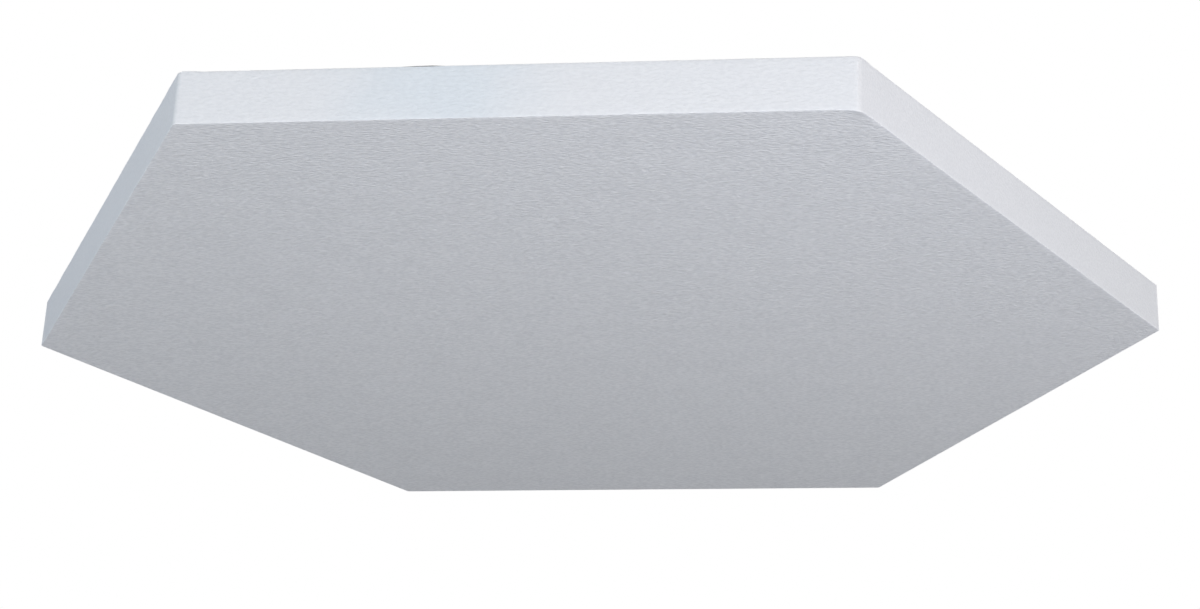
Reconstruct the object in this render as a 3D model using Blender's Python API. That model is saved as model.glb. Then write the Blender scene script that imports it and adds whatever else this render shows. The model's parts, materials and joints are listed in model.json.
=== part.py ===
"""A hexagonal acoustic cloud that hangs level under a ceiling.

A mitred softwood frame with housed plywood corner gussets holds a glass wool board. One white
cloth is stretched over the room face and the six sides and turned over the back, where a dark
cloth closes it. Four D-rings in folded steel straps are screwed through the cloth into gussets.

Metres, +Z up. The origin is the centre of the back's outer face, the room face looks down, the
front side faces -Y, and +X runs through two opposite corners.
"""

import math

import bmesh
import bpy
from mathutils import Matrix, Vector

# Overall
EDGE = 0.4572  # one side of the hexagon, measured over the cloth
GAP = 0.0003  # between pieces that touch

# Frame rails
FRAME_DEPTH = 0.0375
RAIL_LIP = 0.006  # the wood left standing outside a gusset
GUSSET_SEAT = 0.012  # the rail's width under a gusset
RAIL_CORNER = 0.0026  # the frame's softened corners in plan
RAIL_ARRIS = 0.0007  # the rounding along its outer edges

# Gussets
GUSSET_THICKNESS = 0.012
GUSSET_LEG = 0.120  # along each rail, from the nose to a clipped end
GUSSET_END = 0.013  # the width of a clipped end
GUSSET_NOSE = 0.005  # the rounded nose, as a router leaves its housing

# Cloths
COVER_CLOTH = 0.0006
BACK_CLOTH = 0.0005
BACK_CLOTH_INSET = 0.007  # from the outer face to the back cloth's edge
HEM_LAP = 0.023  # how far the hem reaches in under the back cloth
CLOTH_CORNER = 0.0025  # the back cloth's corners in plan
LEAST_CORNER = 0.0005  # the tightest rounding in plan, as at the hem's inner edge

# Countersunk screws
SCREW_SHANK = 0.0035
SCREW_HEAD = 0.0068
SCREW_RIM = 0.0003  # the head's straight edge, above its cone
SCREW_POINT = 0.0030  # the length of the tapered point
RECESS_SPAN = 0.0036  # the cross recess in the head
RECESS_WIDTH = 0.0009
RECESS_DEPTH = 0.0014
GUSSET_SCREW_END = 0.035  # from a gusset's clipped end, along the rail
GUSSET_SCREW_BITE = 0.013  # how deep a gusset screw goes into its rail
HANGER_SCREW_SHORT = 0.004  # the plywood left under a hanger screw's tip

# Ring hangers
STRAP_LEAF = 0.0010  # the steel sheet, which is folded double
STRAP_WIDTH = 0.014
STRAP_LENGTH = 0.040  # from the rounded end to the ring's bar
STRAP_HOLE_PITCH = 0.016
KNUCKLE_NECK = 0.0020  # the radius where the knuckle runs down into the strap
RING_WIRE = 0.003
RING_BEND = 0.003  # the bends at the ends of the ring's bar
RING_LEG = 0.0045  # from the bar's middle line to the start of the bow
RING_SIDE_PLAY = 0.004  # between the strap's side and a leg of the ring
BAR_PLAY = 0.0002  # round the bar in the knuckle
HANGER_SETBACK = 0.014  # from the outer face to the strap's end
HANGER_SHIFT = 0.020  # from the corner, along the front or the rear side

# Facets
CORNER_STEPS = 5
ARRIS_STEPS = 3
SCREW_STEPS = 12
KNUCKLE_STEPS = 14
BOW_STEPS = 14
RING_SIDES = 10
CUT_PAST = 0.004  # how far a cutter runs past what it cuts
MERGE = 1e-6  # points this close are one

SIDES = ("rear_right", "rear", "rear_left", "front_left", "front", "front_right")
CORNERS = ("right", "rear_right", "rear_left", "left", "front_left", "front_right")
HANGER_CORNERS = ("rear_right", "rear_left", "front_left", "front_right")
SIXTH = math.radians(60)
TWELFTH = math.radians(30)

# Heights, from the back down to the room face
HEM_TOP = -BACK_CLOTH - GAP
FRAME_TOP = HEM_TOP - COVER_CLOTH - GAP
FRAME_BOTTOM = FRAME_TOP - FRAME_DEPTH
ROOM_FACE = FRAME_BOTTOM - GAP - COVER_CLOTH
GUSSET_BOTTOM = FRAME_TOP - GUSSET_THICKNESS

# Distances from the middle to the sides
COVER_OUT = EDGE * math.cos(TWELFTH)
FRAME_OUT = COVER_OUT - COVER_CLOTH - GAP
FRAME_IN = FRAME_OUT - RAIL_LIP - GUSSET_SEAT
GUSSET_OUT = FRAME_OUT - RAIL_LIP - GAP
HEM_WIDTH = BACK_CLOTH_INSET + HEM_LAP

# The hanger: its bar is the origin of its own frame, and the ring points along +Y
KNUCKLE = RING_WIRE / 2 + BAR_PLAY + STRAP_LEAF
BAR_HEIGHT = GAP + KNUCKLE
STRAP_TOP = 2 * STRAP_LEAF - KNUCKLE
RING_HALF = STRAP_WIDTH / 2 + RING_SIDE_PLAY + RING_WIRE / 2
RING_DROOP = math.asin((BAR_HEIGHT - GAP - RING_WIRE / 2) / (RING_LEG + RING_HALF))
FIRST_HOLE = STRAP_WIDTH / 2 - STRAP_LENGTH
STRAP_HOLES = (FIRST_HOLE, FIRST_HOLE + STRAP_HOLE_PITCH)
HANGER_SCREW_LENGTH = BAR_HEIGHT + STRAP_TOP - GUSSET_BOTTOM - HANGER_SCREW_SHORT
GUSSET_SCREW_LENGTH = GUSSET_THICKNESS + GUSSET_SCREW_BITE


def clear_scene():
    for thing in list(bpy.data.objects):
        bpy.data.objects.remove(thing)


def material(name, colour, roughness, metallic=0.0):
    made = bpy.data.materials.new(name)
    made.use_nodes = True
    shader = made.node_tree.nodes["Principled BSDF"]
    shader.inputs["Base Color"].default_value = (*colour, 1)
    shader.inputs["Roughness"].default_value = roughness
    shader.inputs["Metallic"].default_value = metallic
    return made


def shown(name, mesh, finish, place=None):
    """An object of the part, with its own copy of its finish."""
    made = bpy.data.objects.new(name, mesh)
    bpy.context.collection.objects.link(made)
    if place is not None:
        made.matrix_world = place
    colour, roughness, metallic = finish
    made.data.materials.clear()
    made.data.materials.append(material(name, colour, roughness, metallic))
    return made


def cutter(name, mesh):
    """A hidden object that only shapes others."""
    made = bpy.data.objects.new(name, mesh)
    bpy.context.collection.objects.link(made)
    made.hide_render = True
    made.display_type = "WIRE"
    return made


def cut(target, tool, operation="DIFFERENCE"):
    modifier = target.modifiers.new(tool.name, "BOOLEAN")
    modifier.operation = operation
    modifier.object = tool


def finished(bm, name):
    """The mesh of a closed shape, its faces turned outwards and its round parts smooth."""
    bmesh.ops.recalc_face_normals(bm, faces=bm.faces)
    mesh = bpy.data.meshes.new(name)
    bm.to_mesh(mesh)
    bm.free()
    mesh.shade_smooth()
    mesh.set_sharp_from_angle(angle=TWELFTH)
    return mesh


def baked(thing, name):
    """The mesh of an object with its modifiers applied."""
    seen = thing.evaluated_get(bpy.context.evaluated_depsgraph_get())
    mesh = bpy.data.meshes.new_from_object(seen)
    mesh.name = name
    return mesh


def heading(angle):
    return Vector((math.cos(angle), math.sin(angle), 0))


def raised(points, height):
    return [Vector((point.x, point.y, height)) for point in points]


def hexagon(apothem, radius, height=0.0):
    """A hexagon with rounded corners, anticlockwise from the corner on +X."""
    centre = (apothem - radius) / math.cos(TWELFTH)
    points = []
    for corner in range(6):
        for step in range(CORNER_STEPS + 1):
            turn = corner * SIXTH + TWELFTH * (2 * step / CORNER_STEPS - 1)
            points.append(heading(corner * SIXTH) * centre + heading(turn) * radius)
    return raised(points, height)


def grown(outline, amount):
    """A convex outline with every side moved outwards."""
    points = []
    for before, here, after in zip(outline[-1:] + outline[:-1], outline, outline[1:] + outline[:1]):
        arriving = (here - before).normalized()
        leaving = (after - here).normalized()
        out_before = Vector((arriving.y, -arriving.x, 0))
        out_after = Vector((leaving.y, -leaving.x, 0))
        points.append(here + (out_before + out_after) * amount / (1 + out_before.dot(out_after)))
    return points


def add_prism(bm, outline, low, high):
    base = bm.faces.new([bm.verts.new(point) for point in raised(outline, low)])
    lifted = bmesh.ops.extrude_face_region(bm, geom=[base])["geom"]
    moved = [item for item in lifted if isinstance(item, bmesh.types.BMVert)]
    bmesh.ops.translate(bm, verts=moved, vec=(0, 0, high - low))


def prism(name, outlines, low, high):
    """One mesh that holds an upright prism over each outline."""
    bm = bmesh.new()
    for outline in outlines:
        add_prism(bm, outline, low, high)
    return finished(bm, name)


def skinned(name, rings):
    """A closed skin through rings of equally many points, with a flat cap at either end."""
    bm = bmesh.new()
    loops = [[bm.verts.new(point) for point in ring] for ring in rings]
    for lower, upper in zip(loops, loops[1:]):
        for i in range(len(lower)):
            bm.faces.new((lower[i - 1], lower[i], upper[i], upper[i - 1]))
    bm.faces.new(loops[0])
    bm.faces.new(loops[-1])
    return finished(bm, name)


def hexagon_skin(name, apothem, corner, profile):
    """A skin whose profile is (inset from the side, height) pairs, followed round the hexagon."""
    rings = [hexagon(apothem - x, max(corner - x, LEAST_CORNER), z) for x, z in profile]
    return skinned(name, rings)


def arc(inset, height, radius, start, end, steps=ARRIS_STEPS):
    """Points on an arc in a profile; 0 degrees faces outwards and 90 up."""
    turns = [math.radians(start + (end - start) * i / steps) for i in range(steps + 1)]
    return [(inset - radius * math.cos(turn), height + radius * math.sin(turn)) for turn in turns]


def turned(name, profile, places):
    """A mesh of solids turned about +Z from (radius, height) pairs, one at each of the places."""
    bm = bmesh.new()
    for place in places:
        corners = [bm.verts.new(place @ Vector((radius, 0, height))) for radius, height in profile]
        edges = [bm.edges.new(pair) for pair in zip(corners, corners[1:])]
        bmesh.ops.spin(
            bm,
            geom=corners + edges,
            cent=place.translation,
            axis=place.to_3x3() @ Vector((0, 0, 1)),
            angle=2 * math.pi,
            steps=SCREW_STEPS,
            use_merge=True,
        )
    bmesh.ops.remove_doubles(bm, verts=bm.verts, dist=MERGE)
    return finished(bm, name)


def screw_profile(length):
    """A countersunk screw, its head's top at height 0."""
    shank, head = SCREW_SHANK / 2, SCREW_HEAD / 2
    neck = -SCREW_RIM - (head - shank)
    return [
        (0, 0),
        (head, 0),
        (head, -SCREW_RIM),
        (shank, neck),
        (shank, SCREW_POINT - length),
        (0, -length),
    ]


def screw_hole_profile(length):
    """The countersunk hole of a screw, one gap larger all round."""
    shank, head = SCREW_SHANK / 2 + GAP, SCREW_HEAD / 2 + GAP
    cone_top = -SCREW_RIM - (math.sqrt(2) - 1) * GAP
    return [
        (0, CUT_PAST),
        (head, CUT_PAST),
        (head, cone_top),
        (shank, cone_top - (head - shank)),
        (shank, -length - GAP),
        (0, -length - GAP),
    ]


def screw_mesh(name, length):
    """A screw with a cross recess in its head."""
    body = cutter(name + "_blank", turned(name, screw_profile(length), [Matrix()]))
    arm, side = RECESS_SPAN / 2, RECESS_WIDTH / 2
    quarter = [Vector((side, side, 0)), Vector((arm, side, 0)), Vector((arm, -side, 0))]
    outline = [
        Matrix.Rotation(turn * math.pi / 2, 3, "Z") @ point
        for turn in (0, 3, 2, 1)
        for point in quarter
    ]
    recess = cutter(name + "_recess", prism(name, [outline[::-1]], -RECESS_DEPTH, CUT_PAST))
    cut(body, recess)
    return baked(body, name)


# The wooden frame

WOOD = ((0.62, 0.42, 0.24), 0.7, 0.0)
PLYWOOD = ((0.66, 0.50, 0.32), 0.65, 0.0)
STEEL = ((0.66, 0.66, 0.64), 0.32, 1.0)


def frame_block():
    """The outside of the whole frame, which rounds the rails' corners and arrises."""
    return cutter(
        "frame_block",
        hexagon_skin(
            "frame_block",
            FRAME_OUT,
            RAIL_CORNER,
            arc(RAIL_ARRIS, FRAME_BOTTOM + RAIL_ARRIS, RAIL_ARRIS, -90, 0)
            + arc(RAIL_ARRIS, FRAME_TOP - RAIL_ARRIS, RAIL_ARRIS, 0, 90),
        ),
    )


def gusset_outline(corner):
    """A gusset in plan: a rounded nose, two legs along the rails, and clipped ends."""
    nose = hexagon(GUSSET_OUT, GUSSET_NOSE)[: CORNER_STEPS + 1]
    peak = Vector((GUSSET_OUT / math.cos(TWELFTH), 0, 0))
    end = peak + heading(2 * SIXTH) * GUSSET_LEG
    inner = end - heading(TWELFTH) * GUSSET_END
    half = [end, inner]
    other = [Vector((point.x, -point.y, 0)) for point in reversed(half)]
    turn = Matrix.Rotation(corner * SIXTH, 3, "Z")
    return [turn @ point for point in nose + half + other]


def corner_housings():
    """What is cut from the rails and the core so that the gussets sit flush with the frame."""
    outlines = [grown(gusset_outline(corner), GAP) for corner in range(6)]
    return cutter(
        "corner_housings",
        prism("corner_housings", outlines, GUSSET_BOTTOM - GAP, FRAME_TOP + CUT_PAST),
    )


def gusset_screw_places():
    """Two to a gusset, one over each rail, by corner and side."""
    places = {}
    for index, corner in enumerate(CORNERS):
        peak = heading(index * SIXTH) * (GUSSET_OUT / math.cos(TWELFTH))
        for way, side in ((1, SIDES[index]), (-1, SIDES[index - 1])):
            along = heading(index * SIXTH + way * 2 * SIXTH) * (GUSSET_LEG - GUSSET_SCREW_END)
            inwards = heading(index * SIXTH + way * TWELFTH) * (GUSSET_SEAT / 2)
            spot = peak + along - inwards
            places[corner, side] = Matrix.Translation((spot.x, spot.y, FRAME_TOP))
    return places


def rail(index, tools):
    """One mitred rail: a wedge of the frame block between two corner planes."""
    long_half = (FRAME_OUT + CUT_PAST) * math.tan(TWELFTH) - GAP / 2 / math.cos(TWELFTH)
    short_half = FRAME_IN * math.tan(TWELFTH) - GAP / 2 / math.cos(TWELFTH)
    outline = [
        Vector((FRAME_IN, -short_half, 0)),
        Vector((FRAME_OUT + CUT_PAST, -long_half, 0)),
        Vector((FRAME_OUT + CUT_PAST, long_half, 0)),
        Vector((FRAME_IN, short_half, 0)),
    ]
    name = "rail_" + SIDES[index]
    mesh = prism(name, [outline], FRAME_BOTTOM - CUT_PAST, FRAME_TOP + CUT_PAST)
    made = shown(name, mesh, WOOD, Matrix.Rotation(TWELFTH + index * SIXTH, 4, "Z"))
    block, housings, screw_holes = tools
    cut(made, block, "INTERSECT")
    cut(made, housings)
    cut(made, screw_holes)


def gusset(index, tools):
    name = "gusset_" + CORNERS[index]
    made = shown(name, prism(name, [gusset_outline(index)], GUSSET_BOTTOM, FRAME_TOP), PLYWOOD)
    for tool in tools:
        cut(made, tool)


def wooden_frame(hanger_holes):
    """The rails, the gussets and their screws. It returns the cutter of the corner housings."""
    housings = corner_housings()
    places = gusset_screw_places()
    screw_holes = cutter(
        "gusset_screw_holes",
        turned("gusset_screw_holes", screw_hole_profile(GUSSET_SCREW_LENGTH), places.values()),
    )
    block = frame_block()
    for index in range(6):
        rail(index, (block, housings, screw_holes))
        tools = [screw_holes]
        if CORNERS[index] in HANGER_CORNERS:
            tools.append(hanger_holes)
        gusset(index, tools)
    mesh = screw_mesh("gusset_screw", GUSSET_SCREW_LENGTH)
    for (corner, side), place in places.items():
        shown(f"gusset_screw_{corner}_to_{side}_rail", mesh.copy(), STEEL, place)
    return housings


# The core and the two cloths


def core_board(housings):
    """Fills the frame, and is notched under the gussets."""
    apothem = FRAME_IN - GAP
    mesh = prism("core_board", [hexagon(apothem, RAIL_ARRIS)], FRAME_BOTTOM, FRAME_TOP)
    cut(shown("core_board", mesh, ((0.72, 0.64, 0.36), 0.95, 0.0)), housings)


def face_cover(hanger_holes):
    """The white cloth: the room face, the sides, and a hem turned in over the back."""
    edge = RAIL_ARRIS + GAP + COVER_CLOTH
    low, high = ROOM_FACE + edge, HEM_TOP - edge
    profile = (
        arc(edge, low, edge, -90, 0)
        + arc(edge, high, edge, 0, 90)
        + [(HEM_WIDTH, HEM_TOP), (HEM_WIDTH, HEM_TOP - COVER_CLOTH)]
        + arc(edge, high, edge - COVER_CLOTH, 90, 0)
        + arc(edge, low, edge - COVER_CLOTH, 0, -90)
    )
    corner = RAIL_CORNER + GAP + COVER_CLOTH
    mesh = hexagon_skin("face_cover", COVER_OUT, corner, profile)
    cut(shown("face_cover", mesh, ((0.84, 0.84, 0.85), 0.95, 0.0)), hanger_holes)


def back_cloth(hanger_holes):
    outline = hexagon(COVER_OUT - BACK_CLOTH_INSET, CLOTH_CORNER)
    mesh = prism("back_cloth", [outline], -BACK_CLOTH, 0)
    cut(shown("back_cloth", mesh, ((0.03, 0.03, 0.032), 0.95, 0.0)), hanger_holes)


# The ring hangers


def hanger_places():
    """The bar of each hanger's ring, with the ring pointing to the middle of the back."""
    across = EDGE / 2 - HANGER_SHIFT
    along = COVER_OUT - HANGER_SETBACK - STRAP_LENGTH
    places = {}
    for corner in HANGER_CORNERS:
        rear = corner.startswith("rear")
        x = across if corner.endswith("right") else -across
        y = along if rear else -along
        turn = Matrix.Rotation(math.pi if rear else 0, 4, "Z")
        places[corner] = Matrix.Translation((x, y, BAR_HEIGHT)) @ turn
    return places


def hanger_screw_places(hanger):
    return [hanger @ Matrix.Translation((0, y, STRAP_TOP)) for y in STRAP_HOLES]


def strap_side():
    """The folded strap seen from its side, in (y, z): the knuckle, its neck and the two leaves."""
    rise = KNUCKLE_NECK + STRAP_TOP
    neck_y = -math.sqrt((KNUCKLE + KNUCKLE_NECK) ** 2 - rise**2)
    touch = math.atan2(rise, neck_y)
    turns = [-math.pi / 2 + (touch + math.pi / 2) * i / KNUCKLE_STEPS for i in range(KNUCKLE_STEPS + 1)]
    points = [(KNUCKLE * math.cos(turn), KNUCKLE * math.sin(turn)) for turn in turns]
    neck_end = 1.5 * math.pi
    for i in range(1, ARRIS_STEPS + 1):
        turn = touch + math.pi + (neck_end - touch - math.pi) * i / ARRIS_STEPS
        y, z = KNUCKLE_NECK * math.cos(turn), KNUCKLE_NECK * math.sin(turn)
        points.append((neck_y + y, rise + z))
    return points + [(-STRAP_LENGTH, STRAP_TOP), (-STRAP_LENGTH, -KNUCKLE)]


def strap_mesh():
    """The strap: its side view widened, rounded off at the end, and bored for bar and screws."""
    bm = bmesh.new()
    half = STRAP_WIDTH / 2
    side = bm.faces.new([bm.verts.new((-half, y, z)) for y, z in strap_side()])
    lifted = bmesh.ops.extrude_face_region(bm, geom=[side])["geom"]
    moved = [item for item in lifted if isinstance(item, bmesh.types.BMVert)]
    bmesh.ops.translate(bm, verts=moved, vec=(STRAP_WIDTH, 0, 0))
    blank = cutter("strap_blank", finished(bm, "strap"))
    past = KNUCKLE + CUT_PAST
    wide = half + GAP
    outline = [Vector((-wide, past, 0)), Vector((-wide, FIRST_HOLE, 0))]
    for step in range(2 * CORNER_STEPS + 1):
        turn = math.pi + math.pi * step / (2 * CORNER_STEPS)
        outline.append(Vector((half * math.cos(turn), FIRST_HOLE + half * math.sin(turn), 0)))
    outline += [Vector((wide, FIRST_HOLE, 0)), Vector((wide, past, 0))]
    cut(blank, cutter("strap_plan", prism("strap_plan", [outline], -past, past)), "INTERSECT")
    bore = RING_WIRE / 2 + BAR_PLAY
    reach = half + CUT_PAST
    profile = [(0, reach), (bore, reach), (bore, -reach), (0, -reach)]
    along_bar = Matrix.Rotation(math.pi / 2, 4, "Y")
    cut(blank, cutter("strap_bore", turned("strap_bore", profile, [along_bar])))
    holes = turned("strap_holes", screw_hole_profile(KNUCKLE + CUT_PAST), hanger_screw_places(Matrix()))
    cut(blank, cutter("strap_holes", holes))
    return baked(blank, "strap")


def ring_points():
    """The ring's middle line: a straight bar, two bends, two legs and a round bow."""
    bend = RING_HALF - RING_BEND
    half = []
    for step in range(ARRIS_STEPS + 1):
        turn = -math.pi / 2 + math.pi / 2 * step / ARRIS_STEPS
        half.append((bend + RING_BEND * math.cos(turn), RING_BEND + RING_BEND * math.sin(turn)))
    for step in range(BOW_STEPS // 2):
        turn = math.pi / 2 * step / (BOW_STEPS // 2)
        half.append((RING_HALF * math.cos(turn), RING_LEG + RING_HALF * math.sin(turn)))
    top = (0, RING_LEG + RING_HALF)
    return half + [top] + [(-x, y) for x, y in reversed(half)]


def ring_curve(name):
    curve = bpy.data.curves.new(name, "CURVE")
    curve.dimensions = "3D"
    curve.bevel_depth = RING_WIRE / 2
    curve.bevel_resolution = RING_SIDES // 2 - 2
    points = ring_points()
    spline = curve.splines.new("POLY")
    spline.points.add(len(points) - 1)
    for point, (x, y) in zip(spline.points, points):
        point.co = (x, y, 0, 1)
    spline.use_cyclic_u = True
    spline.use_smooth = True
    return curve


def ring_hangers():
    strap = strap_mesh()
    screw = screw_mesh("hanger_screw", HANGER_SCREW_LENGTH)
    for corner, place in hanger_places().items():
        shown(f"hanger_strap_{corner}", strap.copy(), STEEL, place)
        hinge = bpy.data.objects.new(f"ring_hinge_{corner}", None)
        bpy.context.collection.objects.link(hinge)
        hinge.matrix_world = place
        ring = shown(f"d_ring_{corner}", ring_curve(f"d_ring_{corner}"), STEEL)
        ring.parent = hinge
        ring.rotation_euler.x = -RING_DROOP
        for number, spot in zip(("outer", "inner"), hanger_screw_places(place)):
            shown(f"hanger_screw_{corner}_{number}", screw.copy(), STEEL, spot)


def main():
    clear_scene()
    places = [spot for hanger in hanger_places().values() for spot in hanger_screw_places(hanger)]
    profile = screw_hole_profile(HANGER_SCREW_LENGTH)
    hanger_holes = cutter("hanger_holes", turned("hanger_holes", profile, places))
    housings = wooden_frame(hanger_holes)
    core_board(housings)
    face_cover(hanger_holes)
    back_cloth(hanger_holes)
    ring_hangers()


main()
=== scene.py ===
"""The looks of the hexagonal acoustic cloud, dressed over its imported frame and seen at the
photograph's angle. Metres, in the part's own frame: +Z up, the room face looking down.
"""

import json
import math

import bmesh
import bpy
from mathutils import Matrix, Vector, noise


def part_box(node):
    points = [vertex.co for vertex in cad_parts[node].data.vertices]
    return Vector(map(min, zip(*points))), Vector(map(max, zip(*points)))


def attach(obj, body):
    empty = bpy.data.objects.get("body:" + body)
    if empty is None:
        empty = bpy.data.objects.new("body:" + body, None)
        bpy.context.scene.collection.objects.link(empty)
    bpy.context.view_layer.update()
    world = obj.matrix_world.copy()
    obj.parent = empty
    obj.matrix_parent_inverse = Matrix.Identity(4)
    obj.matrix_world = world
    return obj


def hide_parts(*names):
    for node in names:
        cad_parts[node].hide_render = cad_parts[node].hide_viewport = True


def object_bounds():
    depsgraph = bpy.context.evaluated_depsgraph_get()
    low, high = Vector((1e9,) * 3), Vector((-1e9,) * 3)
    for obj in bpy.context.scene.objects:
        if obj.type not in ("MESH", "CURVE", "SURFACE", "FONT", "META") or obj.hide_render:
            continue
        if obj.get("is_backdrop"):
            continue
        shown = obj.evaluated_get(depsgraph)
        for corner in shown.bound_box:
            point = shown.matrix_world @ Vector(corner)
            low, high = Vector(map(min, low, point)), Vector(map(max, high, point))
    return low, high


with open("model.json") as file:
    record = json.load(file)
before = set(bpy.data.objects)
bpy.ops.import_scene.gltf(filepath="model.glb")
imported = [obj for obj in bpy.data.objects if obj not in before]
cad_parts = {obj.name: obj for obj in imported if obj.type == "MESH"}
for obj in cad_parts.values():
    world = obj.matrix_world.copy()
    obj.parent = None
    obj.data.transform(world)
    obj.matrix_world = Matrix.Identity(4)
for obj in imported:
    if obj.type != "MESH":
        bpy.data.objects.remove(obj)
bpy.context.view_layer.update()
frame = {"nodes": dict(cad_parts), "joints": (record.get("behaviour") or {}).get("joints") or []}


# Softwood rails: six planed battens, mitred at 60 degrees and glued and screwed to the gussets.
# The cloth hides them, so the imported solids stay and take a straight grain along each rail.


class Wire:
    """What one socket of a material gives. Sums and products of wires add their own nodes."""

    def __init__(self, tree, socket=None):
        self.tree = tree
        self.socket = socket

    def node(self, kind, sockets=(), out=0, **settings):
        """A new node with these inputs and settings, as the wire of one of its outputs."""
        made = self.tree.nodes.new(kind)
        for name, value in settings.items():
            setattr(made, name, value)
        for name, value in dict(sockets).items():
            if isinstance(value, Wire):
                self.tree.links.new(value.socket, made.inputs[name])
            else:
                made.inputs[name].default_value = value
        return Wire(self.tree, made.outputs[out])

    def math(self, operation, *values):
        return self.node("ShaderNodeMath", enumerate(values), operation=operation)

    def __add__(self, other):
        return self.math("ADD", self, other)

    def __sub__(self, other):
        return self.math("SUBTRACT", self, other)

    def __rsub__(self, other):
        return self.math("SUBTRACT", other, self)

    def __mul__(self, other):
        return self.math("MULTIPLY", self, other)

    __radd__ = __add__
    __rmul__ = __mul__

    def eased(self, low, high):
        """0 up to low, 1 from high on, and a soft step between them."""
        sockets = {"Value": self, "From Min": low, "From Max": high}
        return self.node("ShaderNodeMapRange", sockets, interpolation_type="SMOOTHSTEP")

    def between(self, first, second):
        """A colour between two, by this wire's share of the second."""
        return self.node("ShaderNodeMix", {0: self, 6: first, 7: second}, out=2, data_type="RGBA")

    def noise(self, scale, detail=2.0, stretch=None, turn=0.0):
        """Noise with so many features to a metre, or stretched along an axis turned about Z."""
        place = self
        if stretch:
            place = self.node(
                "ShaderNodeMapping", {"Vector": self, "Rotation": (0, 0, -turn), "Scale": stretch}
            )
        return self.node("ShaderNodeTexNoise", {"Vector": place, "Scale": scale, "Detail": detail})

    def bump(self, depth, under=None):
        """A bump of so many metres, on top of another bump's normal."""
        sockets = {"Height": self, "Distance": depth}
        if under:
            sockets["Normal"] = under
        return self.node("ShaderNodeBump", sockets)


def material(name):
    """A new material, and the wire of the place on the part that its patterns start from."""
    made = bpy.data.materials.new(name)
    made.use_nodes = True
    return made, Wire(made.node_tree).node("ShaderNodeTexCoord", out="Object")


def paint(made, **sockets):
    """Sets the sockets of a material's shader, each named with _ for a space."""
    shader = made.node_tree.nodes["Principled BSDF"]
    for name, value in sockets.items():
        socket = shader.inputs[name.replace("_", " ")]
        if isinstance(value, Wire):
            made.node_tree.links.new(value.socket, socket)
        else:
            socket.default_value = value
    return made


def dress(node, made):
    """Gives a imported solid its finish."""
    slots = frame["nodes"][node].data.materials
    slots.clear()
    slots.append(made)


EARLY_WOOD = (0.58, 0.40, 0.22, 1)
LATE_WOOD = (0.40, 0.23, 0.11, 1)


def softwood(name, turn):
    made, place = material(name)
    figure = place.noise(1.0, 3.0, stretch=(6, 90, 160), turn=turn)
    bands = figure * 9
    rings = bands.math("FRACT", bands).eased(0.35, 1.0)
    pores = place.noise(1.0, 2.0, stretch=(120, 2600, 2600), turn=turn)
    colour = (rings * 0.7 + pores * 0.2).between(EARLY_WOOD, LATE_WOOD)
    height = pores - rings * 0.4
    return paint(made, Base_Color=colour, Roughness=0.72 - rings * 0.12, Normal=height.bump(0.00008))


SIDES = ("rear_right", "rear", "rear_left", "front_left", "front", "front_right")
SIXTH = math.radians(60)
TWELFTH = math.radians(30)
for number, side in enumerate(SIDES):
    along = TWELFTH + number * SIXTH + math.pi / 2
    dress("rail_" + side, softwood("softwood_" + side, along))


# Corner gussets: clipped triangles of birch plywood, let into the rails and flush with them. The
# face veneer runs one way; the five plies show as bands round the cut edges.

CORNERS = ("right", "rear_right", "rear_left", "left", "front_left", "front_right")
BIRCH = (0.66, 0.50, 0.32, 1)
BIRCH_DARK = (0.46, 0.31, 0.17, 1)
PLY_COUNT = 5


def plywood():
    made, place = material("birch_plywood")
    low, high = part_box("gusset_right")
    height = place.node("ShaderNodeSeparateXYZ", {0: place}, out="Z")
    facing = place.node("ShaderNodeNewGeometry", out="Normal")
    upright = place.node("ShaderNodeSeparateXYZ", {0: facing}, out="Z")
    cut_edge = 1 - upright.math("ABSOLUTE", upright)
    level = (height - low.z) * (PLY_COUNT / 2 / (high.z - low.z))
    plies = level.math("GREATER_THAN", level.math("FRACT", level), 0.5)
    veneer = place.noise(1.0, 3.0, stretch=(14, 260, 260))
    tone = veneer * 0.8 + plies * cut_edge.eased(0.4, 0.6) * 0.6
    colour = tone.between(BIRCH, BIRCH_DARK)
    return paint(made, Base_Color=colour, Roughness=0.55, Normal=veneer.bump(0.00006))


gusset_finish = plywood()
for corner in CORNERS:
    dress("gusset_" + corner, gusset_finish)


# Gusset screws: countersunk steel wood screws, bright zinc plated, one through each gusset into
# each rail. They stay as packed, under the hem.

ZINC_LIGHT = (0.60, 0.61, 0.63, 1)
ZINC_DARK = (0.36, 0.37, 0.39, 1)


def zinc(name, scratch=(1, 1, 1)):
    """Bright zinc plate: a cloudy grey with fine rolling marks along one way."""
    made, place = material(name)
    cloud = place.noise(260, 3.0)
    marks = place.noise(2600, 2.0, stretch=scratch)
    colour = (cloud * 0.7 + marks * 0.3).between(ZINC_DARK, ZINC_LIGHT)
    roughness = 0.24 + cloud * 0.16 + marks * 0.10
    return paint(made, Base_Color=colour, Metallic=1.0, Roughness=roughness, Normal=marks.bump(0.00001))


screw_finish = zinc("zinc_screws")
for node in frame["nodes"]:
    if node.startswith("gusset_screw"):
        dress(node, screw_finish)


# Core board: pressed glass wool, cut to fill the frame and notched under the gussets. Its fibres
# lie in flat layers, which show as fine lines on the cut edges.

WOOL_PALE = (0.80, 0.72, 0.42, 1)
WOOL_DEEP = (0.58, 0.47, 0.20, 1)


def glass_wool():
    made, place = material("glass_wool")
    layers = place.noise(1.0, 4.0, stretch=(70, 70, 900))
    fibres = place.noise(1.0, 3.0, stretch=(1500, 500, 2200), turn=0.5)
    tufts = place.noise(160, 4.0)
    colour = (layers * 0.5 + tufts * 0.5).between(WOOL_DEEP, WOOL_PALE)
    height = fibres * 0.5 + tufts * 0.5
    return paint(made, Base_Color=colour, Roughness=0.95, Normal=height.bump(0.0006))


dress("core_board", glass_wool())


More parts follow.
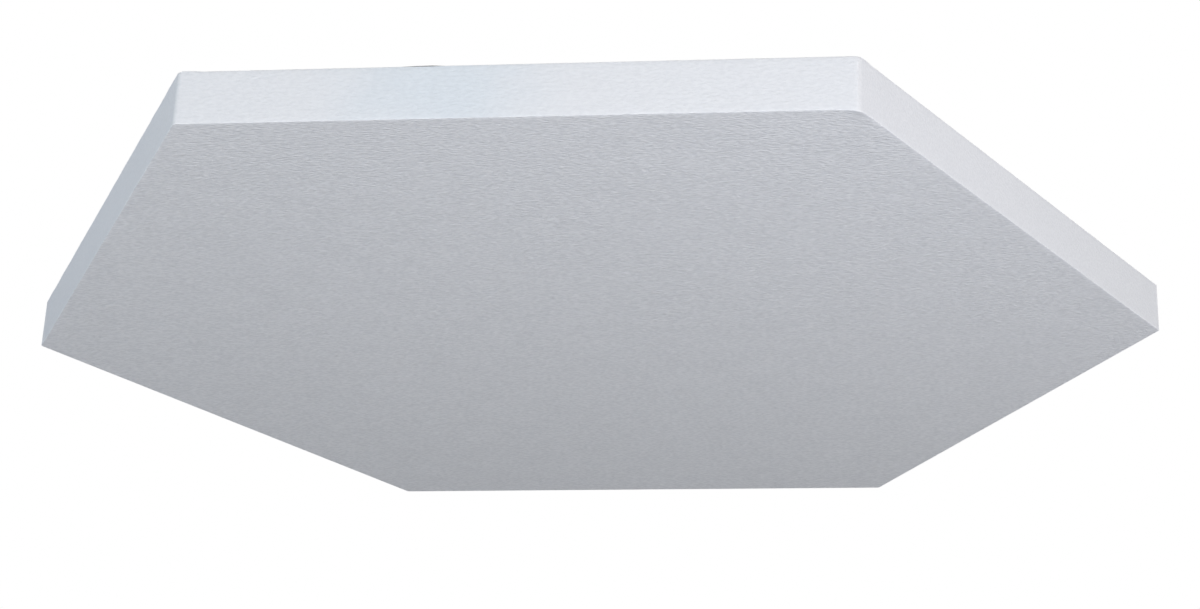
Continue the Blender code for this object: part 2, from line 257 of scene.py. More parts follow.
# Cover cloth: one sheet of white needled polyester, stretched over the room face and the sides
# and turned over the back. It is pleated once at each corner and stapled under the back cloth.

cover_low, cover_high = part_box("face_cover")
ACROSS_FLATS = cover_high.y
SIDE_HEIGHT = cover_high.z - cover_low.z
CLOTH = 0.0006
ARRIS = 0.0006
CORNER_POINT = ACROSS_FLATS / math.cos(TWELFTH)
CORNER_ROUND = (CORNER_POINT - cover_high.x) / (1 / math.cos(TWELFTH) - 1)
CORNER_ROUNDS = {"right": 0.0024, "left": 0.0024, "front_right": 0.0062, "front_left": 0.0045}
LEAST_ROUND = 0.0012
MIDDLE_FROM = 0.35
MIDDLE_ROUND = 0.0004
HEM = 0.0295
SIDE_STATIONS = 130
CORNER_STATIONS = 10
CORNER_CROWDING = 0.5
FOLD_PITCH = 0.0042
FOLD_REACH = 0.0062
FOLD_DEPTH = {"right": 0.00030, "front_right": 0.00010, "front_left": 0.00006}
FOLD_USUAL = 0.00016
PUCKER = 0.0011
PUCKER_ALONG = 0.0070
PUCKER_IN = 0.0040
PUCKER_UP = 0.0060
BAND_STEP = {"right": 0.00024, "left": 0.00022}
BAND_WIDTH = 0.0060
BAND_EDGE = 0.0006
PLEAT_STEP = 0.0005
PLEAT_WIDTH = 0.016
PLEAT_START = 0.0012
PLEAT_SLANT = 0.55
PLEAT_RISE = 0.0009
STAPLE_PITCH = 0.046
STAPLE_PULL = 0.00009
CREASE_LEAST = 0.00009
CREASE_MORE = 0.00030
SIDE_WAVE = 0.00022
FACE_WAVE = 0.00030
FACE_RIPPLE = 0.00005
HEM_RIPPLE = 0.00004
MIDDLE_APOTHEM = 0.002


class Station:
    """One place round the hexagon's outline: on a side, or on the rounding of a corner."""

    def __init__(self, side, share, corner_turn=None):
        self.side = side
        self.share = share
        self.corner_turn = corner_turn
        normal = TWELFTH + side * SIXTH
        self.out_angle = normal if corner_turn is None else normal + corner_turn

    def out(self):
        return Vector((math.cos(self.out_angle), math.sin(self.out_angle), 0))

    def point(self, inset, rounding, height):
        """Its place on the outline at an inset from the sides, with each corner's rounding."""
        apothem = ACROSS_FLATS - inset
        normal = TWELFTH + self.side * SIXTH
        first, last = rounding(CORNERS[self.side]), rounding(CORNERS[(self.side + 1) % 6])
        if self.corner_turn is None:
            start, end = -(apothem - first) * math.tan(TWELFTH), (apothem - last) * math.tan(TWELFTH)
            along = start + (end - start) * self.share
            turned = Matrix.Rotation(normal, 3, "Z") @ Vector((apothem, along, 0))
        else:
            corner = normal + TWELFTH
            middle = (apothem - last) / math.cos(TWELFTH)
            turned = Vector((math.cos(corner), math.sin(corner), 0)) * middle + self.out() * last
        return Vector((turned.x, turned.y, height))

    def from_corner(self):
        """The nearest corner's name, and the distance from its middle, along the outline."""
        first, last = CORNERS[self.side], CORNERS[(self.side + 1) % 6]
        start, end = cover_round(first), cover_round(last)
        if self.corner_turn is not None:
            return last, end * (self.corner_turn - TWELFTH)
        length = (2 * ACROSS_FLATS - start - end) * math.tan(TWELFTH)
        if self.share > 0.5:
            return last, -end * TWELFTH - (1 - self.share) * length
        return first, start * TWELFTH + self.share * length


def cover_round(corner):
    """How round the cloth lies over a corner, seen in plan."""
    return CORNER_ROUNDS.get(corner, CORNER_ROUND)


def stations(side_steps, corner_steps):
    """The stations all round, anticlockwise, closer together near the corners."""
    found = []
    for side in range(6):
        for step in range(side_steps + 1):
            even = step / side_steps
            crowded = even - CORNER_CROWDING * math.sin(2 * math.pi * even) / (2 * math.pi)
            found.append(Station(side, crowded))
        for step in range(1, corner_steps):
            found.append(Station(side, None, SIXTH * step / corner_steps))
    return found


def drift(point, wavelength, seed):
    """A smooth value from -1 to 1 that changes over about a wavelength."""
    return noise.noise(point / wavelength + Vector((seed, 2 * seed, -seed)))


def soft_step(value, low, high):
    share = min(max((value - low) / (high - low), 0), 1)
    return share * share * (3 - 2 * share)


def pleat(station, inset):
    """How far the corner pleat lifts the hem: one fold of cloth laid over beside the corner."""
    corner, distance = station.from_corner()
    rear = corner.startswith("rear") or corner == "left"
    away = -distance if rear else distance
    start = PLEAT_START + PLEAT_SLANT * inset
    rise = soft_step(away, start, start + PLEAT_RISE)
    fall = 1 - soft_step(away, start + PLEAT_WIDTH * 0.4, start + PLEAT_WIDTH)
    return PLEAT_STEP * rise * fall


def staple_pull(station, share):
    """The shallow scallops that the hem's staples pull in the top of a side."""
    if station.corner_turn is not None:
        return 0.0
    _, distance = station.from_corner()
    return STAPLE_PULL * math.cos(2 * math.pi * distance / STAPLE_PITCH) * share**2


def side_relief(station, point, share):
    """The wrinkles in a side, where share runs from 0 at the room face to 1 at the back."""
    corner, distance = station.from_corner()
    fold = FOLD_DEPTH.get(corner, FOLD_USUAL) * math.exp(-((distance / FOLD_REACH) ** 2))
    folds = fold * math.cos(2 * math.pi * distance / FOLD_PITCH + 0.8) * (0.4 + 0.6 * share)
    slant = Vector((point.x + 0.7 * point.z, point.y - 0.7 * point.z, 0.35 * point.z))
    strained = CREASE_LEAST + CREASE_MORE * max(drift(point, 0.11, 13.0), 0)
    creases = strained * drift(slant, 0.018, 3.0) + SIDE_WAVE * drift(point, 0.075, 7.0)
    fade = 0.25 + 0.75 * soft_step(abs(distance), 0.004, 0.03)
    return folds + creases * fade - staple_pull(station, share)


def face_relief(point, inset):
    """The room face is drawn tight over the core, and follows its slight unevenness."""
    settled = soft_step(inset, 0.0, 0.02)
    return settled * (FACE_WAVE * drift(point, 0.16, 11.0) + FACE_RIPPLE * drift(point, 0.030, 5.0))


def fold_band(station):
    """The surplus cloth folded to one side of a corner: a narrow flat band with a step at its edge."""
    corner, distance = station.from_corner()
    away = distance if corner == "left" else -distance
    step = 1 - soft_step(away, BAND_WIDTH - BAND_EDGE, BAND_WIDTH + BAND_EDGE)
    return BAND_STEP.get(corner, 0.0) * step * min(max(away, 0) / BAND_WIDTH, 1)


def pucker(station, inset, height):
    """The spare cloth that bunches under the foot of one blunter corner."""
    corner, distance = station.from_corner()
    if corner != "front_right":
        return 0.0
    above = height - cover_low.z
    reach = (distance / PUCKER_ALONG) ** 2 + (inset / PUCKER_IN) ** 2 + (above / PUCKER_UP) ** 2
    return PUCKER * math.exp(-reach)


def cover_rings():
    """The cloth from the hem's edge, over the back arris, down the side and in to the middle of
    the room face: (inset, height, outwards share of the normal, upwards share)."""
    top, foot = cover_high.z, cover_low.z
    rings = []
    for step in range(10):
        rings.append((HEM - (HEM - ARRIS) * step / 10, top, 0.0, 1.0))
    for step in range(5):
        turn = math.pi / 2 * (1 - step / 4)
        out, up = math.cos(turn), math.sin(turn)
        rings.append((ARRIS * (1 - out), top - ARRIS * (1 - up), out, up))
    for step in range(1, 13):
        rings.append((0.0, top - ARRIS - (SIDE_HEIGHT - 2 * ARRIS) * step / 13, 1.0, 0.0))
    for step in range(5):
        turn = math.pi / 2 * step / 4
        out, up = math.cos(turn), math.sin(turn)
        rings.append((ARRIS * (1 - out), foot + ARRIS * (1 - up), out, -up))
    run = ACROSS_FLATS - ARRIS - MIDDLE_APOTHEM
    for step in range(1, 27):
        rings.append((ARRIS + run * (step / 26) ** 1.5, foot, 0.0, -1.0))
    return rings


def cover_point(station, inset, height, out, up):
    least = LEAST_ROUND if inset < MIDDLE_FROM else MIDDLE_ROUND
    point = station.point(inset, lambda corner: max(cover_round(corner) - inset, least), height)
    share = (height - cover_low.z) / SIDE_HEIGHT
    normal = station.out() * out + Vector((0, 0, up))
    if up > 0.5:
        lift = pleat(station, inset) * up + HEM_RIPPLE * drift(point, 0.02, 1.0)
    elif up < -0.5:
        lift = face_relief(point, inset)
    else:
        lift = side_relief(station, point, share) * out
    band = station.out() * fold_band(station) * (1 - soft_step(inset, 0.0, 0.004))
    return point + normal * lift + band - Vector((0, 0, pucker(station, inset, height)))


def join_rows(bm, rows):
    """Quads between each closed row of vertices and the next."""
    for first, second in zip(rows, rows[1:]):
        for i in range(len(first)):
            bm.faces.new((first[i - 1], first[i], second[i], second[i - 1]))


def mesh_from(bm, name):
    """The finished mesh, with all its faces turned outwards."""
    bmesh.ops.recalc_face_normals(bm, faces=bm.faces)
    mesh = bpy.data.meshes.new(name)
    bm.to_mesh(mesh)
    bm.free()
    return mesh


def sheet_mesh(name, loops):
    """A mesh of quads between loops of points, closed in the middle by a fan."""
    bm = bmesh.new()
    rows = [[bm.verts.new(point) for point in loop] for loop in loops]
    join_rows(bm, rows)
    last = rows[-1]
    middle = bm.verts.new(sum((vert.co for vert in last), Vector()) / len(last))
    for i in range(len(last)):
        bm.faces.new((last[i - 1], last[i], middle))
    mesh = mesh_from(bm, name)
    mesh.shade_smooth()
    return mesh


def piece(name, mesh, finish, body="cloud"):
    """An object of the dressed part, riding on one of its bodies."""
    made = bpy.data.objects.new(name, mesh)
    bpy.context.scene.collection.objects.link(made)
    mesh.materials.append(finish)
    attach(made, body)
    return made


def thickened(made, thickness):
    """Gives a sheet its thickness, inwards from the side that shows."""
    solid = made.modifiers.new("thickness", "SOLIDIFY")
    solid.thickness = thickness
    solid.offset = -1
    return made


CLOTH_WHITE = (0.916, 0.920, 0.927, 1)
CLOTH_SHADE = (0.768, 0.775, 0.789, 1)
# Painted light: the blue of a pool of cool light painted into the cloth's colour on the front side, and the
# place it is centred on.
CLOTH_PAINTED_COOL_LIGHT = (0.922, 0.966, 0.990, 1)
PAINTED_COOL_LIGHT_SPOT = (-0.052, -0.396, -0.010)


def needled_cloth():
    """White needled polyester: a fine pebbled nap, a little longer one way, and no weave. It shows
    more on the room face than on the sides, where the cloth is drawn tight over the edges."""
    made, place = material("needled_polyester")
    facing = place.node("ShaderNodeNewGeometry", out="Normal")
    level = place.node("ShaderNodeSeparateXYZ", {0: facing}, out="Z")
    loose = level.math("ABSOLUTE", level).eased(0.3, 0.8)
    nap = place.noise(1.0, 2.0, stretch=(250, 760, 530))
    tufts = place.noise(1.0, 2.0, stretch=(210, 160, 260))
    fibres = place.noise(1500, 2.0)
    patches = place.noise(26, 2.0)
    speckle = (nap * 0.7 + tufts * 0.1 + fibres * 0.12 + patches * 0.08).eased(0.34, 0.66)
    tone = 0.5 + (speckle - 0.5) * (0.34 + loose * 0.60)
    white = tone.between(CLOTH_SHADE, CLOTH_WHITE)
    # Painted light: a faint pool of cool blue light painted into the colour of the sides round one spot on
    # the front side, fading out within about 0.1 m. The cloth itself has no such tint.
    reach = place.node("ShaderNodeVectorMath", {0: place, 1: PAINTED_COOL_LIGHT_SPOT}, out="Value", operation="DISTANCE")
    painted_cool_light_mask = (1 - (reach + patches * 0.05).eased(0.035, 0.125)) * (1 - loose)
    painted_cool_light = painted_cool_light_mask.between((1, 1, 1, 1), CLOTH_PAINTED_COOL_LIGHT)
    colours = {0: 1.0, 6: white, 7: painted_cool_light}
    both = place.node("ShaderNodeMix", colours, out=2, data_type="RGBA", blend_type="MULTIPLY")
    under = ((nap * 0.9 + tufts * 0.3) * (0.35 + loose * 0.65)).bump(0.00106)
    return paint(made, Base_Color=both, Roughness=0.92, Normal=fibres.bump(0.00005, under))


cover_stations = stations(SIDE_STATIONS, CORNER_STATIONS)
cover_loops = [[cover_point(station, *ring) for station in cover_stations] for ring in cover_rings()]
cover_finish = needled_cloth()
cover = thickened(piece("stretched_cover", sheet_mesh("stretched_cover", cover_loops), cover_finish), CLOTH)
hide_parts("face_cover")


# Back cloth: charcoal spunbond dust cloth, cut by hand a few millimetres short of the edge. On the front
# side it reaches out in one tongue to near the back arris, where its dark shows as a thin line along the
# top edge. It rises over the corner pleats and dips at the staples.

back_low, back_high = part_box("back_cloth")
BACK_INSET = ACROSS_FLATS - back_high.y
BACK_CLOTH = back_high.z - back_low.z
BACK_STAPLE_INSET = 0.0065
BACK_STAPLE_PITCH = 0.049
STAPLES_A_SIDE = 9
STAPLE_WANDER_IN = 0.0012
STAPLE_WANDER_ALONG = 0.004
STAPLE_WANDER_TURN = math.radians(14)
STAPLE_DIP = 0.00022
STAPLE_DIP_REACH = 0.0045
EDGE_WANDER = 0.0005
SLACK_LEAST = 0.00012
SLACK_MORE = 0.00035
BACK_SUNK = 0.0001
CHARCOAL = (0.022, 0.023, 0.025, 1)
CHARCOAL_PALE = (0.050, 0.051, 0.055, 1)
BACK_ROUND = 0.0025
TONGUE_AT = -0.0620
TONGUE_HALF = 0.021
TONGUE_SQUARENESS = 6
TONGUE_INSET = 0.0018


def staple_spots():
    """Where each staple sits on the back cloth: its place, and the way that its crown runs."""
    spots = []
    for side in range(6):
        normal = TWELFTH + side * SIXTH
        turned = Matrix.Rotation(normal, 3, "Z")
        for number in range(STAPLES_A_SIDE):
            along = (number - (STAPLES_A_SIDE - 1) / 2) * BACK_STAPLE_PITCH
            wander = drift(Vector((along, side, 0)), 0.02, 4.0)
            inset = BACK_INSET + BACK_STAPLE_INSET + STAPLE_WANDER_IN * wander
            spot = turned @ Vector((ACROSS_FLATS - inset, along + STAPLE_WANDER_ALONG * wander, 0))
            spots.append((spot, normal + math.pi / 2 + STAPLE_WANDER_TURN * wander))
    return spots


staples_at = staple_spots()


def back_height(station, point, inset):
    """How high the back cloth lies over its packed top: higher on a pleat, lower at a staple."""
    dip = sum(math.exp(-((point - spot).length / STAPLE_DIP_REACH) ** 2) for spot, _ in staples_at)
    loose = drift(point, 0.05, 9.0) + 0.5 * drift(point, 0.018, 2.0)
    slack = SLACK_LEAST + SLACK_MORE * soft_step(inset, 0.03, 0.10)
    return pleat(station, inset) - STAPLE_DIP * min(dip, 1) + slack * loose - BACK_SUNK


def back_loops():
    """The loops from the cloth's uneven edge, with its tongue, in to the middle."""
    loops = []
    ring_stations = stations(60, 6)
    for step in range(30):
        share = (step / 29) ** 1.4
        loop = []
        for station in ring_stations:
            place = station.point(0, cover_round, 0)
            edge = BACK_INSET + EDGE_WANDER * drift(place, 0.03, 6.0)
            near = abs(place.x - TONGUE_AT) / TONGUE_HALF
            if SIDES[station.side] == "front":
                edge -= (BACK_INSET - TONGUE_INSET) / (1 + near**TONGUE_SQUARENESS)
            inset = edge + (ACROSS_FLATS - BACK_INSET - MIDDLE_APOTHEM) * share
            rounding = max(BACK_ROUND - share * 0.05, MIDDLE_ROUND)
            point = station.point(inset, lambda corner: rounding, 0)
            point.z = back_high.z + back_height(station, point, inset)
            loop.append(point)
        loops.append(loop)
    return loops


def spunbond():
    """Charcoal spunbond: matted filaments, pressed in a close grid of small bond points."""
    made, place = material("charcoal_spunbond")
    filaments = place.noise(1300, 4.0, stretch=(1, 2.4, 1))
    clumps = place.noise(90, 3.0)
    spread = {"Vector": place, "Scale": 620.0, "Randomness": 0.15}
    bonds = place.node("ShaderNodeTexVoronoi", spread, voronoi_dimensions="2D").eased(0.16, 0.34)
    tone = filaments * 0.5 + clumps * 0.35 + bonds * 0.3
    height = bonds * 0.7 + filaments * 0.5
    return paint(
        made, Base_Color=tone.between(CHARCOAL, CHARCOAL_PALE), Roughness=0.88, Normal=height.bump(0.00012)
    )


back = thickened(piece("dust_cloth", sheet_mesh("dust_cloth", back_loops()), spunbond()), BACK_CLOTH)
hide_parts("back_cloth")


# Staples: galvanised crowns of flat wire that hold the back cloth down over the hem, driven by
# hand, so that no two lie quite alike.

CROWN = 0.0106
STAPLE_WIRE = (0.0012, 0.00055)
STAPLE_LEG = 0.0045
STAPLE_BEND = 0.0007
STAPLE_SUNK = 0.0002


def close_rows(bm, rows):
    """Joins closed rows of vertices into a solid, with a cap at each end."""
    join_rows(bm, rows)
    bm.faces.new(rows[0])
    bm.faces.new(rows[-1])


def add_staple(bm, spot, turn):
    """A flat wire, bent down at both ends."""
    path = [(-CROWN / 2, -STAPLE_LEG), (-CROWN / 2, -STAPLE_BEND)]
    path += [(-CROWN / 2 + STAPLE_BEND * 0.3, -STAPLE_BEND * 0.3), (-CROWN / 2 + STAPLE_BEND, 0)]
    path += [(-x, z) for x, z in reversed(path)]
    width, thick = STAPLE_WIRE[0] / 2, STAPLE_WIRE[1] / 2
    turned = Matrix.Translation(spot) @ Matrix.Rotation(turn, 4, "Z")
    rings = []
    for i, (x, z) in enumerate(path):
        before, after = path[max(i - 1, 0)], path[min(i + 1, len(path) - 1)]
        run = Vector((after[0] - before[0], 0, after[1] - before[1])).normalized()
        up = Vector((-run.z, 0, run.x))
        corners = ((-width, -thick), (width, -thick), (width, thick), (-width, thick))
        rings.append(
            [bm.verts.new(turned @ (Vector((x, across, z)) + up * rise)) for across, rise in corners]
        )
    close_rows(bm, rings)


def staples_mesh():
    """All the staples, each sunk a little into the cloth."""
    bm = bmesh.new()
    for spot, turn in staples_at:
        place = Vector((spot.x, spot.y, back_high.z + STAPLE_WIRE[1] / 2 - STAPLE_SUNK))
        add_staple(bm, place, turn)
    return mesh_from(bm, "staples")


staples = piece("staples", staples_mesh(), zinc("galvanised_staples"))
soften = staples.modifiers.new("rounded_wire", "BEVEL")
soften.width = 0.00012
soften.segments = 2


# Hanger straps: 1 mm steel strip folded double round the ring's bar, with a rounded end and two
# countersunk holes, zinc plated and screwed down through the back cloth into the gussets.

HANGERS = ("rear_right", "rear_left", "front_left", "front_right")
hinges = {joint["child"].removeprefix("ring_"): joint for joint in frame["joints"]}
strap_low, strap_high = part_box("hanger_strap_front_right")
bar = Vector(hinges["front_right"]["pos_m"])
STRAP_WIDTH = strap_high.x - strap_low.x
STRAP_REACH = bar.y - strap_low.y
KNUCKLE = bar.z - strap_low.z
LEAF = 0.0010
SEAM = 0.00003
NECK = 0.0020
HOLE_PITCH = 0.016
FIRST_HOLE = STRAP_WIDTH / 2 - STRAP_REACH


def strap_path():
    """The strip's middle line in (y, z) with its left-hand normal, from tail to tail round the bar."""
    bend = KNUCKLE - LEAF / 2
    lower = -KNUCKLE + LEAF / 2
    upper = lower + LEAF
    rise = NECK + 2 * LEAF - KNUCKLE
    neck_y = -math.sqrt((KNUCKLE + NECK) ** 2 - rise**2)
    touch = math.atan2(rise, neck_y)
    tail = [STRAP_REACH - STRAP_WIDTH / 2 * (1 - math.cos(math.pi / 2 * i / 10)) for i in range(11)]
    tail += [STRAP_REACH - STRAP_WIDTH / 2 - 0.003 * i for i in range(1, 9)]
    points = [((-y, lower), (0, -1)) for y in tail]
    for i in range(33):
        turn = -math.pi / 2 + (touch + math.pi / 2) * i / 32
        points.append(((bend * math.cos(turn), bend * math.sin(turn)), (math.cos(turn), math.sin(turn))))
    for i in range(1, 9):
        turn = touch + math.pi + (math.pi / 2 - touch) * i / 8
        away = (math.cos(turn), math.sin(turn))
        reach = NECK + LEAF / 2
        points.append(((neck_y + reach * away[0], rise + reach * away[1]), (-away[0], -away[1])))
    points += [((-y, upper), (0, 1)) for y in reversed(tail) if -y < neck_y]
    return points


def strap_half_width(y):
    """The strap's rounded end."""
    past = FIRST_HOLE - y
    if past <= 0:
        return STRAP_WIDTH / 2
    return math.sqrt(max((STRAP_WIDTH / 2) ** 2 - past**2, 1e-8))


def countersinks():
    """The cutter of the strap's two screw holes."""
    bm = bmesh.new()
    top = 2 * LEAF - KNUCKLE
    head, shank = 0.0037, 0.0021
    profile = [(head, 0.001), (head, -0.0003), (shank, -0.0019), (shank, -0.004)]
    for y in (FIRST_HOLE, FIRST_HOLE + HOLE_PITCH):
        rings = []
        for radius, height in profile:
            rings.append(
                [
                    bm.verts.new((radius * math.cos(a), y + radius * math.sin(a), top + height))
                    for a in (2 * math.pi * i / 40 for i in range(40))
                ]
            )
        close_rows(bm, rings)
    return bpy.data.objects.new("countersinks", mesh_from(bm, "countersinks"))


def applied(made, name):
    """The mesh of an object with its modifiers applied."""
    graph = bpy.context.evaluated_depsgraph_get()
    graph.update()
    mesh = bpy.data.meshes.new_from_object(made.evaluated_get(graph))
    mesh.name = name
    return mesh


def strap_mesh():
    bm = bmesh.new()
    rows = []
    half = LEAF / 2 - SEAM / 2
    for (y, z), (ny, nz) in strap_path():
        wide = strap_half_width(y)
        corners = ((-wide, half), (wide, half), (wide, -half), (-wide, -half))
        rows.append([bm.verts.new((x, y + ny * away, z + nz * away)) for x, away in corners])
    close_rows(bm, rows)
    blank = bpy.data.objects.new("strap_blank", mesh_from(bm, "strap"))
    tool = countersinks()
    for helper in (blank, tool):
        bpy.context.scene.collection.objects.link(helper)
    cut = blank.modifiers.new("holes", "BOOLEAN")
    cut.object = tool
    edges = blank.modifiers.new("edges", "BEVEL")
    edges.width = 0.00013
    edges.segments = 2
    edges.angle_limit = math.radians(50)
    mesh = applied(blank, "strap")
    for helper in (blank, tool):
        bpy.data.objects.remove(helper)
    mesh.shade_smooth()
    mesh.set_sharp_from_angle(angle=math.radians(40))
    return mesh


def hanger_place(corner):
    """The frame of a hanger: its bar at the origin, and the ring along +Y."""
    turn = math.pi if corner.startswith("rear") else 0
    return Matrix.Translation(hinges[corner]["pos_m"]) @ Matrix.Rotation(turn, 4, "Z")


strap = strap_mesh()
strap_finish = zinc("zinc_straps", scratch=(1, 0.06, 1))
for corner in HANGERS:
    mesh = strap.copy()
    mesh.transform(hanger_place(corner))
    made = piece("folded_strap_" + corner, mesh, strap_finish)
    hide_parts("hanger_strap_" + corner)


# D-rings: 3 mm steel wire bent to a D with its butt joint hidden in the knuckle, zinc plated.
# Each swings on its straight bar, and lies on the back cloth when nothing pulls it.

ring_low, ring_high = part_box("d_ring_front_right")
WIRE = 0.003
RING_HALF = (ring_high.x - ring_low.x - WIRE) / 2
RING_BEND = 0.003
RING_LEG = 0.0045
GAP = 0.0003
RING_DROOP = math.asin((bar.z - GAP - WIRE / 2) / (RING_LEG + RING_HALF))


def ring_path():
    """The wire's middle line: a straight bar, two bends, two legs and a round bow."""
    half = [((RING_HALF - RING_BEND) * i / 6, 0) for i in range(1, 6)]
    for i in range(9):
        turn = -math.pi / 2 + math.pi / 2 * i / 8
        across = RING_HALF - RING_BEND + RING_BEND * math.cos(turn)
        half.append((across, RING_BEND + RING_BEND * math.sin(turn)))
    for i in range(24):
        turn = math.pi / 2 * i / 24
        half.append((RING_HALF * math.cos(turn), RING_LEG + RING_HALF * math.sin(turn)))
    top = (0, RING_LEG + RING_HALF)
    return [(0, 0)] + half + [top] + [(-x, y) for x, y in reversed(half)]


def ring_mesh():
    """A round wire swept along the path."""
    bm = bmesh.new()
    path = [Vector((x, y, 0)) for x, y in ring_path()]
    rows = []
    for i, point in enumerate(path):
        run = (path[(i + 1) % len(path)] - path[i - 1]).normalized()
        side = Vector((run.y, -run.x, 0))
        around = [2 * math.pi * k / 20 for k in range(20)]
        rows.append(
            [
                bm.verts.new(point + (side * math.cos(a) + Vector((0, 0, 1)) * math.sin(a)) * WIRE / 2)
                for a in around
            ]
        )
    join_rows(bm, [rows[-1]] + rows)
    mesh = mesh_from(bm, "ring")
    mesh.shade_smooth()
    return mesh


ring = ring_mesh()
ring_finish = zinc("zinc_rings")
for corner in HANGERS:
    mesh = ring.copy()
    mesh.transform(hanger_place(corner) @ Matrix.Rotation(-RING_DROOP, 4, "X"))
    made = piece("wire_ring_" + corner, mesh, ring_finish, "ring_" + corner)
    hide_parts("d_ring_" + corner)


# Hanger screws: countersunk wood screws with a cross recess and a coarse thread, two to a strap,
# down through the back cloth into the plywood. The outer ones go through the hem too.

SHANK = 0.00165
HEAD = 0.0034
HEAD_RIM = 0.0003
HEAD_CHAMFER = 0.00006
THREAD = 0.00022
THREAD_PITCH = 0.0016
SCREW_POINT = 0.003
screw_low, screw_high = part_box("hanger_screw_front_right_outer")
SCREW_LENGTH = screw_high.z - screw_low.z
ROUND = 28


def screw_radius(depth, angle):
    """The screw's radius at a depth under its head's top, with the thread winding down it."""
    cone_end = HEAD_RIM + HEAD - SHANK
    if depth <= HEAD_RIM:
        return HEAD
    if depth <= cone_end:
        return HEAD - (depth - HEAD_RIM)
    left = SCREW_LENGTH - depth
    taper = min(left / SCREW_POINT, 1)
    turn = (depth / THREAD_PITCH - angle / (2 * math.pi)) % 1
    ridge = max(0, 1 - abs(turn - 0.5) * 5) * soft_step(depth, cone_end, cone_end + 0.002)
    return max((SHANK + THREAD * ridge) * taper, 0.00005)


def screw_mesh():
    bm = bmesh.new()
    depths = [0.0, 0.00005, HEAD_RIM]
    depths += [HEAD_RIM + (HEAD - SHANK) * i / 4 for i in range(1, 5)]
    steps = 64
    start = depths[-1]
    depths += [start + (SCREW_LENGTH - start) * i / steps for i in range(1, steps + 1)]
    rows = []
    for depth in depths:
        shrink = HEAD_CHAMFER if depth == 0 else 0
        row = []
        for k in range(ROUND):
            angle = 2 * math.pi * k / ROUND
            radius = screw_radius(depth, angle) - shrink
            row.append(bm.verts.new((radius * math.cos(angle), radius * math.sin(angle), -depth)))
        rows.append(row)
    close_rows(bm, rows)
    body = bpy.data.objects.new("screw_blank", mesh_from(bm, "screw"))
    tool = bpy.data.objects.new("recess", recess_mesh())
    for helper in (body, tool):
        bpy.context.scene.collection.objects.link(helper)
    cut = body.modifiers.new("recess", "BOOLEAN")
    cut.object = tool
    mesh = applied(body, "screw")
    for helper in (body, tool):
        bpy.data.objects.remove(helper)
    mesh.shade_smooth()
    mesh.set_sharp_from_angle(angle=math.radians(35))
    return mesh


def recess_mesh():
    """A cross that narrows to its floor."""
    arm, side, floor = 0.0018, 0.00045, 0.0014
    past, narrowing = 0.0004, 0.45
    outline = []
    for quarter in range(4):
        turned = Matrix.Rotation(quarter * math.pi / 2, 3, "Z")
        outline += [turned @ Vector(p) for p in ((arm, -side, 0), (arm, side, 0), (side, side, 0))]
    bm = bmesh.new()
    upper = [bm.verts.new(point + Vector((0, 0, past))) for point in outline]
    lower = [bm.verts.new(point * narrowing + Vector((0, 0, -floor))) for point in outline]
    close_rows(bm, (upper, lower))
    return mesh_from(bm, "recess")


screw = screw_mesh()
for corner in HANGERS:
    for number, name in enumerate(("outer", "inner")):
        node = f"hanger_screw_{corner}_{name}"
        low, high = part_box(node)
        middle = (low + high) / 2
        driven = Matrix.Rotation(0.7 + 1.9 * number + 0.8 * HANGERS.index(corner), 4, "Z")
        mesh = screw.copy()
        mesh.transform(Matrix.Translation((middle.x, middle.y, high.z)) @ driven)
        made = piece(f"wood_screw_{corner}_{name}", mesh, screw_finish)
        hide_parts(node)


# The room: a plain pale floor well below the cloud, soft lamps in front of it, over it and behind
# it, and an even light all round, which the camera sees as white.

FLOOR_DROP = 1.6
FLOOR_HALF = 9.0
FLOOR_PALE = (0.70, 0.70, 0.70, 1)
FLOOR_PALER = (0.73, 0.73, 0.73, 1)


def floor_finish():
    """Pale paint that keeps shadows, and runs out to white away from the cloud."""
    made, place = material("pale_floor")
    tree = made.node_tree
    mottle = place.noise(3.0, 2.0)
    paint(made, Base_Color=mottle.between(FLOOR_PALE, FLOOR_PALER), Roughness=0.9)
    paints = Wire(tree, tree.nodes["Principled BSDF"].outputs[0])
    reach = place.node("ShaderNodeVectorMath", {0: place}, out="Value", operation="LENGTH")
    seen = place.node("ShaderNodeLightPath", out="Is Camera Ray")
    white = place.node("ShaderNodeEmission", {"Color": (1, 1, 1, 1), "Strength": 1.0})
    open_air = place.node("ShaderNodeBsdfTransparent")
    edge = (0.5 + reach.eased(0.8, 3.2) * 0.5) * seen
    outer = place.node("ShaderNodeMixShader", {0: edge, 1: paints, 2: white})
    under = place.node("ShaderNodeNewGeometry", out="Backfacing")
    both = place.node("ShaderNodeMixShader", {0: under, 1: outer, 2: open_air})
    tree.links.new(both.socket, tree.nodes["Material Output"].inputs["Surface"])
    return made


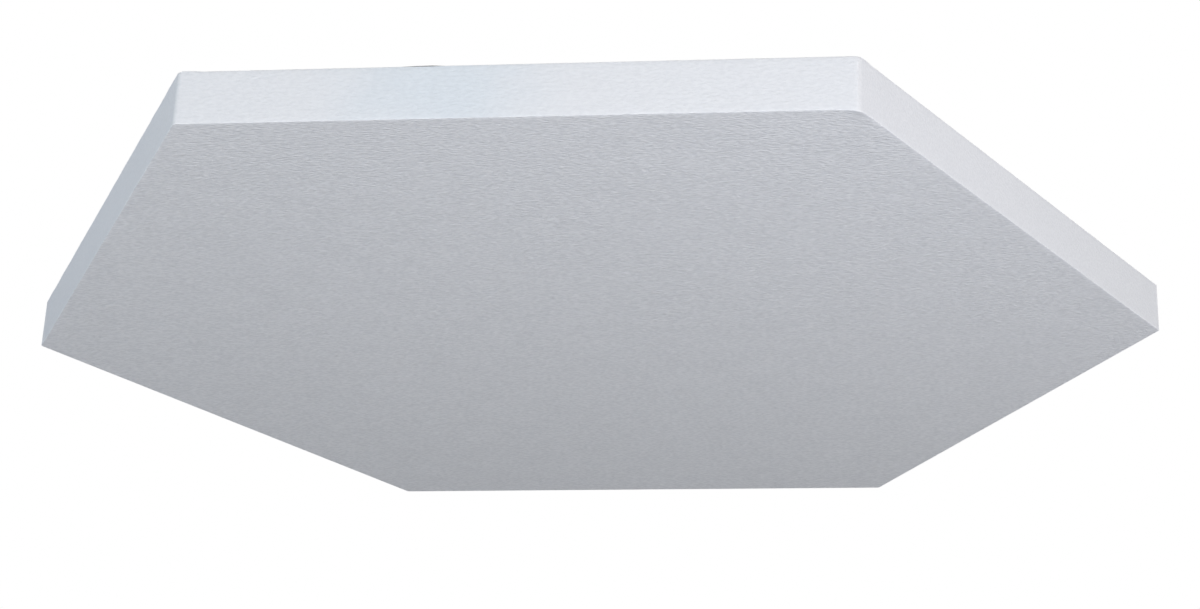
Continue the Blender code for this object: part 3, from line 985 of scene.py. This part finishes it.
floor_mesh = bpy.data.meshes.new("floor")
quarters = ((-1, -1), (1, -1), (1, 1), (-1, 1))
floor_mesh.from_pydata([(x * FLOOR_HALF, y * FLOOR_HALF, 0) for x, y in quarters], [], [(0, 1, 2, 3)])
floor = bpy.data.objects.new("floor", floor_mesh)
floor.location.z = cover_low.z - FLOOR_DROP
floor_mesh.materials.append(floor_finish())
bpy.context.scene.collection.objects.link(floor)
floor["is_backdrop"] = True


def lamp(name, place, size, watts, spread=180):
    """A soft box that faces the cloud, its power given for red, green and blue."""
    light = bpy.data.lights.new(name, "AREA")
    light.shape = "RECTANGLE"
    light.size, light.size_y = size
    light.energy = max(watts)
    light.color = [power / max(watts) for power in watts]
    light.spread = math.radians(spread)
    made = bpy.data.objects.new(name, light)
    made.location = place
    made.rotation_euler = (-Vector(place)).to_track_quat("-Z", "Y").to_euler()
    made.visible_camera = False
    bpy.context.scene.collection.objects.link(made)
    made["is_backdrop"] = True


lamp("front", (0.0, -3.2, -0.7), (2.0, 1.2), (20.2, 19.1, 16.3))
lamp("left", (-2.2, -2.2, -0.5), (1.6, 1.2), (21.6, 25.3, 30.1))
lamp("right", (2.6, -1.4, -0.4), (1.2, 1.0), (22.3, 22.4, 22.7))
lamp("low_right", (0.9, -1.4, -0.9), (0.7, 0.7), (7.8, 8.0, 9.3))
lamp("overhead", (0.2, 0.2, 2.3), (1.6, 1.6), (3.0, 3.0, 3.0), 69)
lamp("rear", (0.0, 3.2, 0.8), (2.6, 1.0), (16.0, 16.0, 16.0), 75)

AMBIENT = (0.170, 0.172, 0.179, 1)
world = bpy.data.worlds.new("room")
world.use_nodes = True
bpy.context.scene.world = world
air = Wire(world.node_tree)
camera_ray = air.node("ShaderNodeLightPath", out="Is Camera Ray")
glossy_ray = air.node("ShaderNodeLightPath", out="Is Glossy Ray")
through_ray = air.node("ShaderNodeLightPath", out="Is Transmission Ray")
seen = air.math("MINIMUM", camera_ray + glossy_ray + through_ray, 1)
background = world.node_tree.nodes["Background"]
world.node_tree.links.new(seen.between(AMBIENT, (1, 1, 1, 1)).socket, background.inputs["Color"])
background.inputs["Strength"].default_value = 1.0

bpy.context.scene.view_settings.view_transform = "Standard"


# The camera: below and in front of the cloud and a little to its right, looking up at it, from
# a fit to the corners that the photograph shows.

camera_data = bpy.data.cameras.new("camera")
camera_data.sensor_width = 36.0
camera_data.lens = 71.35
camera_data.shift_x = -0.0833
camera_data.clip_end = 60
camera = bpy.data.objects.new("camera", camera_data)
camera.location = (0.2567, -1.7795, -0.7494)
camera.rotation_euler = [math.radians(turn) for turn in (112.431, -1.109, 4.894)]
bpy.context.scene.collection.objects.link(camera)
bpy.context.scene.camera = camera

low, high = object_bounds()
